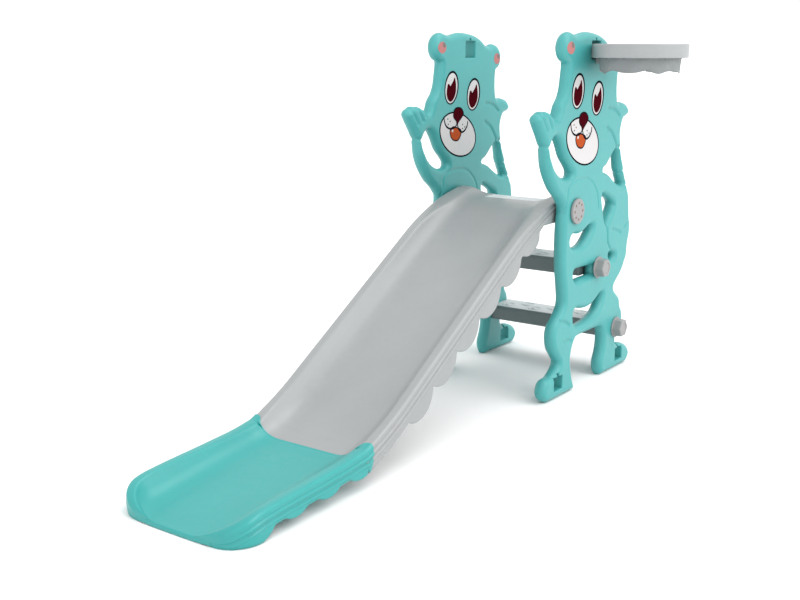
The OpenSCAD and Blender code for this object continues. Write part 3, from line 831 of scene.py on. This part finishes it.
over, under_skin = end_rings(LAP_T), end_rings(-1.2)
shape = chute_ring(crest[-1], collar_foot, CHUTE_HALF)
rise_over = (JOINT[1] + shape[:, 1] - SCALLOP_Z).clip(-SCALLOP_R, SCALLOP_R)
lobe = (SCALLOP_X - JOINT[0] + np.sqrt(SCALLOP_R ** 2 - rise_over ** 2)).clip(1)
side_share = ((np.abs(shape[:, 0]) - 128) / 44).clip(0, 1)  # 0 on the bed, 1 on the flanks
lap = BED_LAP + (lobe - BED_LAP) * side_share ** 2 * (3 - 2 * side_share)
lap = np.mean([np.roll(lap, k) for k in (-2, -1, 0, 1, 2)], 0)


def sample(rings, back):
    """Points of a run of rings, each vertex at its own distance back from the last ring."""
    k = (len(rings) - 1 - back / STATION).clip(0, len(rings) - 1.001)
    i = k.astype(int)
    column = np.arange(rings.shape[1])
    t = (k - i)[:, None]
    return rings[i, column] * (1 - t) + rings[i + 1, column] * t


collar = [sample(under_skin, 0 * lap), sample(under_skin, lap), sample(over, lap - 0.8)]
collar += [sample(over, lap * t) for t in (0.85, 0.6, 0.3)]

# The run-out goes straight to where its front corners start to turn in
turn_angle = np.radians(np.linspace(90, 0, 26))
straight = np.linspace(0, 1, 86)[:-1]
points_x = np.concatenate([JOINT[0] + straight * (FRONT_X + CORNER_R - JOINT[0]),
                           FRONT_X + NOSE + (CORNER_R - NOSE) * (1 - np.cos(turn_angle))])
half = np.concatenate([np.full(len(straight), CHUTE_HALF),
                       CHUTE_HALF - CORNER_R + CORNER_R * np.sin(turn_angle)])
points = np.stack([points_x, JOINT[1] + (points_x - JOINT[0]) * math.tan(LOW_ANGLE)], 1)
normals = np.tile([-math.sin(LOW_ANGLE), math.cos(LOW_ANGLE)], (len(points), 1))
crest, foot = rim_and_skirt(cut("chute_lower", FLANK_CUT_Y), points, normals)
FALL = 105.0  # the rim comes down to the lip over this length
SKIRT_DOWN_X = -1140  # in front of this the skirt reaches the floor
BED_DOWN_X = -1150  # in front of this the bed's underside comes down to the floor
fall = ((points_x - FRONT_X - NOSE) / FALL).clip(0, 1)
full = crest[np.argmin(np.abs(points_x - FRONT_X - FALL))]
crest = np.where(fall < 1, 1 + (full - 1) * np.sqrt(1 - (1 - fall) ** 2.4), crest)
foot = np.where(points_x < SKIRT_DOWN_X, -points[:, 1], foot)
grow = LAP_T * np.exp(-((JOINT[0] - points_x) / 25) ** 2)  # the collar fades into the run-out
grow[grow < 0.05] = 0
front_t = np.where(points_x < BED_DOWN_X, points[:, 1] - 0.3, BED_T)
front_t = np.convolve(np.pad(front_t, 4, mode="edge"), np.full(9, 1 / 9), "valid")
rings = chute_rings(points, normals, crest, foot, half, grow, front_t)
front = rings[-1]
LIP_Z = 1.5  # the nose rounds down to this height, so its underside stays on the floor
lip = []
for a in np.radians([30, 60, 85]):
    ring = front.copy()
    ring[:, 0] -= 3.5 * math.sin(a) * (1 - (np.abs(ring[:, 1] - MID_Y) / half[-1]).clip(0, 1) ** 3)
    ring[:, 2] = np.where(ring[:, 2] > LIP_Z, LIP_Z + (ring[:, 2] - LIP_Z) * math.cos(a), ring[:, 2])
    lip.append(ring)
rings = np.concatenate([collar, rings, lip])
rings[:, :, 2] = rings[:, :, 2].clip(0.3)
lower = make_mesh("chute_shell_lower", *chute_skin(rings), runout)
finish_piece(lower, "frame", ["chute_lower"])


# ------ steps and platform
SWIRLS = 7


def swirl_relief(x, y, middle_x, high):
    """Raised anti-slip swirls in two staggered rows along a tread."""
    out = np.zeros_like(x)
    for i in range(SWIRLS):
        way = 1 if i % 2 == 0 else -1
        dx = way * (x - middle_x + 17 * way)
        dy = way * (y - PANEL_T - 46 - i * (FAR_Y - 2 * PANEL_T - 92) / (SWIRLS - 1))
        r, angle = np.hypot(dx, dy), np.arctan2(dy, dx) % (2 * math.pi)
        for turns in (0, 1):
            a = angle + 2 * math.pi * turns
            line = 22 - 7 * ((a - math.pi) / math.pi).clip(0)
            ridge = high * np.sqrt((1 - (np.abs(r - line) / 2.6) ** 2).clip(0))
            out = np.maximum(out, np.where(a < 3 * math.pi, ridge, 0))
    return out


def tread_bar(name, stations, top_z, middle_x, from_x, node_name, mats, ends, high):
    """A bar along Y whose outline may change, with swirls of the given height on its top.

    from_x and ends are where the swirls may lie; mats are the bar's material and its top faces'; on the steps
    the first is darkened as painted shade and the second paled as painted light.
    """
    rings = np.array([at_y(outline, y) for y, outline in stations])
    flat = rings[:, :, 2] > top_z - 0.01
    inside = (rings[:, :, 0] > from_x[0]) & (rings[:, :, 0] < from_x[1])
    lift = swirl_relief(rings[:, :, 0], rings[:, :, 1], middle_x, high)
    edge = np.minimum(rings[:, :, 1] - ends[0], ends[1] - rings[:, :, 1])
    rings[:, :, 2] += np.where(flat & inside, lift * (edge / 6).clip(0, 1), 0)
    verts, faces = skin(rings)
    # faces on top take the second material; on the steps it is paler as painted light
    up = [all(verts[v][2] > top_z - 0.8 for v in face[:4]) for face in faces]
    bar = make_mesh(name, verts, faces, mats, np.array(up, int))
    finish_piece(bar, "frame", [node_name])


STEP_H, STEP_D, STEP_R = 48, 118, 9
STEP_BACK = 4  # a step's middle lies this far behind its screws
STEP_ENDS = (PANEL_T, FAR_Y - PANEL_T)
for name in ("middle", "lower"):
    screw_x, screw_z = SCREWS[name]
    x0, z0 = screw_x - STEP_D / 2 + STEP_BACK, screw_z - STEP_H / 2
    x1, z1 = x0 + STEP_D, z0 + STEP_H
    corners = [(x0, z0, STEP_R), (x1, z0, STEP_R), (x1, z1, STEP_R), (x0, z1, STEP_R)]
    outline = rounded(corners, (3, 3, 58, 3))
    stations = [(y, outline) for y in np.linspace(*STEP_ENDS, 215)]
    tread_bar(f"step_board_{name}", stations, z1, screw_x + STEP_BACK, (x0 + 10, x1 - 10),
              f"step_{name}", [step_painted_shade, tread], STEP_ENDS, 2.2)

DECK_LOW = 514
DECK_ENDS = (56, 408)
NOTCH_HALF = 112  # half the width of the board's cut-out; past it the chute's walls stand above the board


def deck_outline(front_x, ledge_z, front_r):
    """The platform's outline, with its full height behind front_x and a ledge in front."""
    return rounded([(118, DECK_LOW, 9), (262, DECK_LOW, 9), (262, DECK_TOP, 9), (front_x, DECK_TOP, front_r),
                    (front_x, ledge_z, 2), (118, 534, 4)], (3, 3, 52, 2, 2, 2))


plain = deck_outline(152, 534, 4)
notched = deck_outline(191, 546, 3)
deck_stations = []
for y in np.linspace(*DECK_ENDS, 197):
    deck_stations.append((y, notched if abs(y - MID_Y) < NOTCH_HALF else plain))
tread_bar("platform_board", deck_stations, DECK_TOP, 226, (200, 254), "top_platform",
          [pale_deck_painted_highlight, pale_deck_painted_highlight], DECK_ENDS, 0.5)


# ------ screw knobs
def lathe(stations, count=96):
    """Rings round the Y axis from (y, radius, how six-sided) stations, with thread on long shanks."""
    t = np.linspace(0, 2 * math.pi, count, endpoint=False)
    six = np.minimum(math.cos(math.pi / 6) / np.cos(t % (math.pi / 3) - math.pi / 6), 0.975)
    rings = []
    for y, r, corner, thread in stations:
        radius = r * (1 - corner + corner * six) + thread * 0.55 * np.sin(t + 2 * math.pi * y / 5)
        rings.append(np.column_stack([radius * np.cos(t), np.full(count, y), radius * np.sin(t)]))
    return np.array(rings)


PIT_CIRCLE = 24  # radius of the circle on which a disc knob's dimples lie
PIT_ANGLES = np.radians(np.arange(0, 360, 45))


def from_pit(points, angle):
    """How far points lie from the axis of the dimple at an angle."""
    x, z = PIT_CIRCLE * math.cos(angle), PIT_CIRCLE * math.sin(angle)
    return np.hypot(points[..., 0] - x, points[..., 2] - z)


def shank(length):
    """Stations of the threaded shank, from its tip to the panel's face."""
    tip = [(length, 1, 0, 0), (length, 6.2, 0, 0)]
    threaded = [(y, 7.4, 0, 1) for y in np.arange(length - 1.5, 3, -1)]
    return tip + threaded + [(2.5, 7.9, 0, 0), (0.2, 7.9, 0, 0)]


def hex_rings():
    """A six-sided knob with a hollow in its face."""
    head = [(0, 31.4, 0), (-0.7, 32.6, 0), (-2.3, 33, 0), (-4, 32.5, 0), (-4.8, 31.2, 0.3), (-5, 30, 0.9),
            (-6, 29.8, 1), (-12, 29.6, 1), (-20, 29.2, 1), (-26.5, 28.9, 1), (-28.6, 28.2, 1),
            (-29.7, 26.8, 1), (-30, 25, 0.95), (-30, 19.5, 0.6), (-29.4, 18.6, 0.5), (-28.6, 18, 0.4),
            (-28.6, 9, 0), (-28.6, 1, 0)]
    return lathe(shank(70) + [(y, r, c, 0) for y, r, c in head])


def disc_rings():
    """A flat round knob with a circle of dimples."""
    head = [(0, 33), (-0.6, 35.6), (-2.2, 37), (-6.6, 37), (-8.2, 36.3), (-9, 34.8)]
    head += [(-9, r) for r in np.arange(33.5, 0.5, -1.1)]
    rings = lathe(shank(86) + [(y, r, 0, 0) for y, r in head])
    for a in PIT_ANGLES:
        dimple = 2.6 * np.exp(-(from_pit(rings, a) / 3.6) ** 4)
        rings[:, :, 1] += np.where(rings[:, :, 1] < -8.9, dimple, 0)
    return rings


for name, make in (("top", disc_rings), ("middle", hex_rings), ("lower", hex_rings)):
    verts, faces = skin(make())
    middles = np.array([verts[f].mean(0) for f in faces])
    pits = np.zeros(len(faces), int)
    if name == "top":
        for a in PIT_ANGLES:
            pits |= (from_pit(middles, a) < 4) & (middles[:, 1] < -4)
    verts = verts + [SCREWS[name][0], 0, SCREWS[name][1]]
    for side in ("right", "left"):
        placed = verts if side == "right" else verts * [1, -1, 1] + [0, FAR_Y, 0]
        knob = make_mesh(f"screw_knob_{name}_{side}", placed, faces, [knob_grey, knob_pit], pits)
        finish_piece(knob, f"knob_{name}_{side}", [f"knob_{name}_{side}"])

# ------ ball hoop
RING = np.array([264.0, -135.0])  # middle of the hoop
RING_R, RING_Z, RING_H = 131.0, 979.0, 38.0
BAND_IN = 123  # inner radius of the band
FLANGE_R = 108  # inner radius of the flange at its foot


def revolve(profile, count=180):
    """A closed [radius, z] outline turned about the hoop's middle."""
    a = np.linspace(0, 2 * math.pi, count, endpoint=False)[:, None]
    r, z = np.asarray(profile)[:, 0], np.asarray(profile)[:, 1]
    verts = np.stack([RING[0] + r * np.cos(a), RING[1] + r * np.sin(a), z + 0 * a], -1).reshape(-1, 3)
    return verts, ring_faces(count, len(r), close_rows=True)


ring_top = RING_Z + RING_H
band = rounded([(FLANGE_R, RING_Z, 1.2), (RING_R, RING_Z, 2.6), (RING_R, ring_top, 3.2),
                (BAND_IN, ring_top, 2.6), (BAND_IN, RING_Z + 3, 1), (FLANGE_R, RING_Z + 3, 1.2)],
               (2, 6, 1, 6, 2, 1))
finish_piece(make_mesh("hoop_band", *revolve(band), hoop_grey), "hoop", ["hoop_ring"])
bracket = [block([237.5, -9, RING_Z + 0.4], [290.5, 44.8, RING_Z + RING_H - 0.4], 2.4),
           block([252, 40.5, RING_Z + RING_H - 6], [276, 44.8, RING_Z + RING_H + 3.8], 1.4),
           block([253, -19, RING_Z - 17], [275, -3, RING_Z + 3], 2)]
finish_piece(make_mesh("hoop_arm", *join(bracket), hoop_grey), "hoop", ["hoop_bracket"])


def net_surface(a, v, out=0.0):
    """Where the gathered net hangs: angle round the hoop and 0 to 1 from its top to its hem."""
    fold = v ** 0.8 * (1.8 * np.sin(9 * a + 3.2 * v) + 0.7 * np.sin(20 * a - 4 * v + 1.3))
    r = 110.4 - 1.2 * v + fold + 0.35 * np.sin(45 * a + 2 * np.sin(6 * v)) * (1 - v) + out
    length = 38.5 + 3.2 * np.sin(8 * a + 0.6) + 1.2 * np.sin(13 * a)
    z = RING_Z + 2 - v * length
    return np.stack([RING[0] + r * np.cos(a), RING[1] + r * np.sin(a), z], -1)


NET_TURNS = 360
NET_DROPS = 16  # rows of points from the net's top to its hem, on each of its faces
NET_HALF_T = 0.35
around = np.linspace(0, 2 * math.pi, NET_TURNS + 1)[:-1]
drops = np.concatenate([np.linspace(0, 1, NET_DROPS), np.linspace(1, 0, NET_DROPS)])[None, :]
face_out = np.repeat([NET_HALF_T, -NET_HALF_T], NET_DROPS)[None, :]
net_verts = net_surface(around[:, None], drops, face_out).reshape(-1, 3)
net_loop = 2 * NET_DROPS
net = make_mesh("hoop_net_cloth", net_verts, ring_faces(NET_TURNS, net_loop, close_rows=True), net_cloth)
layer = net.data.uv_layers.new(name="UVMap")
corner_verts = np.empty(len(net.data.loops), np.int32)
net.data.loops.foreach_get("vertex_index", corner_verts)
threads = np.stack([(corner_verts // net_loop) * 1.9, drops[0, corner_verts % net_loop] * 40], 1)
layer.data.foreach_set("uv", threads.astype(np.float32).ravel())
finish_piece(net, "hoop", ["hoop_net"])


def tube(path, radius, closed=False, sides=8):
    """A round cord along points."""
    p = np.asarray(path, float)
    way = np.roll(p, -1, 0) - np.roll(p, 1, 0)
    if not closed:
        way[0], way[-1] = p[1] - p[0], p[-1] - p[-2]
    way /= np.linalg.norm(way, axis=1)[:, None]
    side = np.cross(way, [0.02, 0.03, 1])
    side /= np.linalg.norm(side, axis=1)[:, None]
    up = np.cross(side, way)
    t = np.linspace(0, 2 * math.pi, sides, endpoint=False)[None, :, None]
    rings = p[:, None] + radius * (np.cos(t) * side[:, None] + np.sin(t) * up[:, None])
    if closed:
        return rings.reshape(-1, 3), ring_faces(len(p), sides, close_rows=True)
    return skin(rings)


hem = [tube(net_surface(around, np.full(NET_TURNS, 1.0)), 1.1, closed=True)]
for a in np.radians([33, 147, 213, 327]):  # short tie ends at the hem
    start = net_surface(np.array([a]), np.array([0.98]))[0]
    out = np.array([math.cos(a), math.sin(a), 0])
    hem.append(tube([start, start + 2.5 * out - [0, 0, 2], start + 3.4 * out - [0, 0, 5.5]], 1.0))
for a in np.radians(np.arange(0, 360, 30)):  # hooks that hold the net under the ring's flange
    start = net_surface(np.array([a]), np.array([0.02]))[0]
    out = np.array([math.cos(a), math.sin(a), 0])
    bow = [start + [0, 0, -3], start + 2.2 * out + [0, 0, -3.5], start + 3.4 * out + [0, 0, -1.5],
           start + 3 * out + [0, 0, 1.5]]
    hem.append(tube(curve(bow, 4), 0.9))
hem_piece = make_mesh("hoop_net_hem", *join(hem), net_cloth)
finish_piece(hem_piece, "hoop")

# ------ CAD pieces that stay
kept_nodes = {"platform_inserts": dark, "middle_step_inserts": dark, "lower_step_inserts": dark,
              "chute_joint_screws": steel}
for name, material in kept_nodes.items():
    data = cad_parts[name].data
    data.materials.clear()
    data.materials.append(material)

# ------ stage, light and camera
FAR = 200  # metres from the floor's middle to its edges
floor = bpy.data.meshes.new("floor")
floor.from_pydata([(-FAR, -FAR, 0), (FAR, -FAR, 0), (FAR, FAR, 0), (-FAR, FAR, 0)], [], [(0, 1, 2, 3)])
floor_mat, floor_tree, floor_bsdf = new_material("floor_pale")
floor_noise = noise(floor_tree, 0.8, 2)
floor_tone = mix(floor_tree, floor_noise, (0.87, 0.87, 0.872, 1), (0.89, 0.89, 0.892, 1))
floor_tree.links.new(floor_tone, floor_bsdf.inputs["Base Color"])
floor_bsdf.inputs["Roughness"].default_value = 0.9
floor_bsdf.inputs["Specular IOR Level"].default_value = 0.1
floor.materials.append(floor_mat)
add_object("floor", floor)

world = bpy.data.worlds.new("studio")
world.use_nodes = True
sky = world.node_tree.nodes["Background"]
sky.inputs["Color"].default_value = (1, 1, 1, 1)
sky.inputs["Strength"].default_value = 1.2
bpy.context.scene.world = world


def soft_sun(name, way, strength, spread):
    """A broad, even light from the direction (x, y, z)."""
    light = bpy.data.lights.new(name, "SUN")
    light.energy = strength
    light.angle = math.radians(spread)
    obj = add_object(name, light)
    obj.rotation_mode = "QUATERNION"
    obj.rotation_quaternion = Vector(way).to_track_quat("Z", "Y")


soft_sun("key", (0.15, -0.85, 0.55), 1.2, 50)
soft_sun("top", (0.28, -0.25, 0.92), 0.7, 30)
soft_sun("fill", (-1, -0.3, 0.7), 0.4, 70)

camera = add_object("camera", bpy.data.cameras.new("camera"))
# Metres and degrees: in front of the slide, to its right and level with the bears' heads
camera.location = (-2.395, -1.553, 1.017)
camera.rotation_euler = (math.radians(90 - 13.01), 0, math.radians(-54.29))
camera.data.sensor_width = 36
camera.data.lens = 49.905
bpy.context.scene.camera = camera
bpy.context.scene.view_settings.view_transform = "Standard"
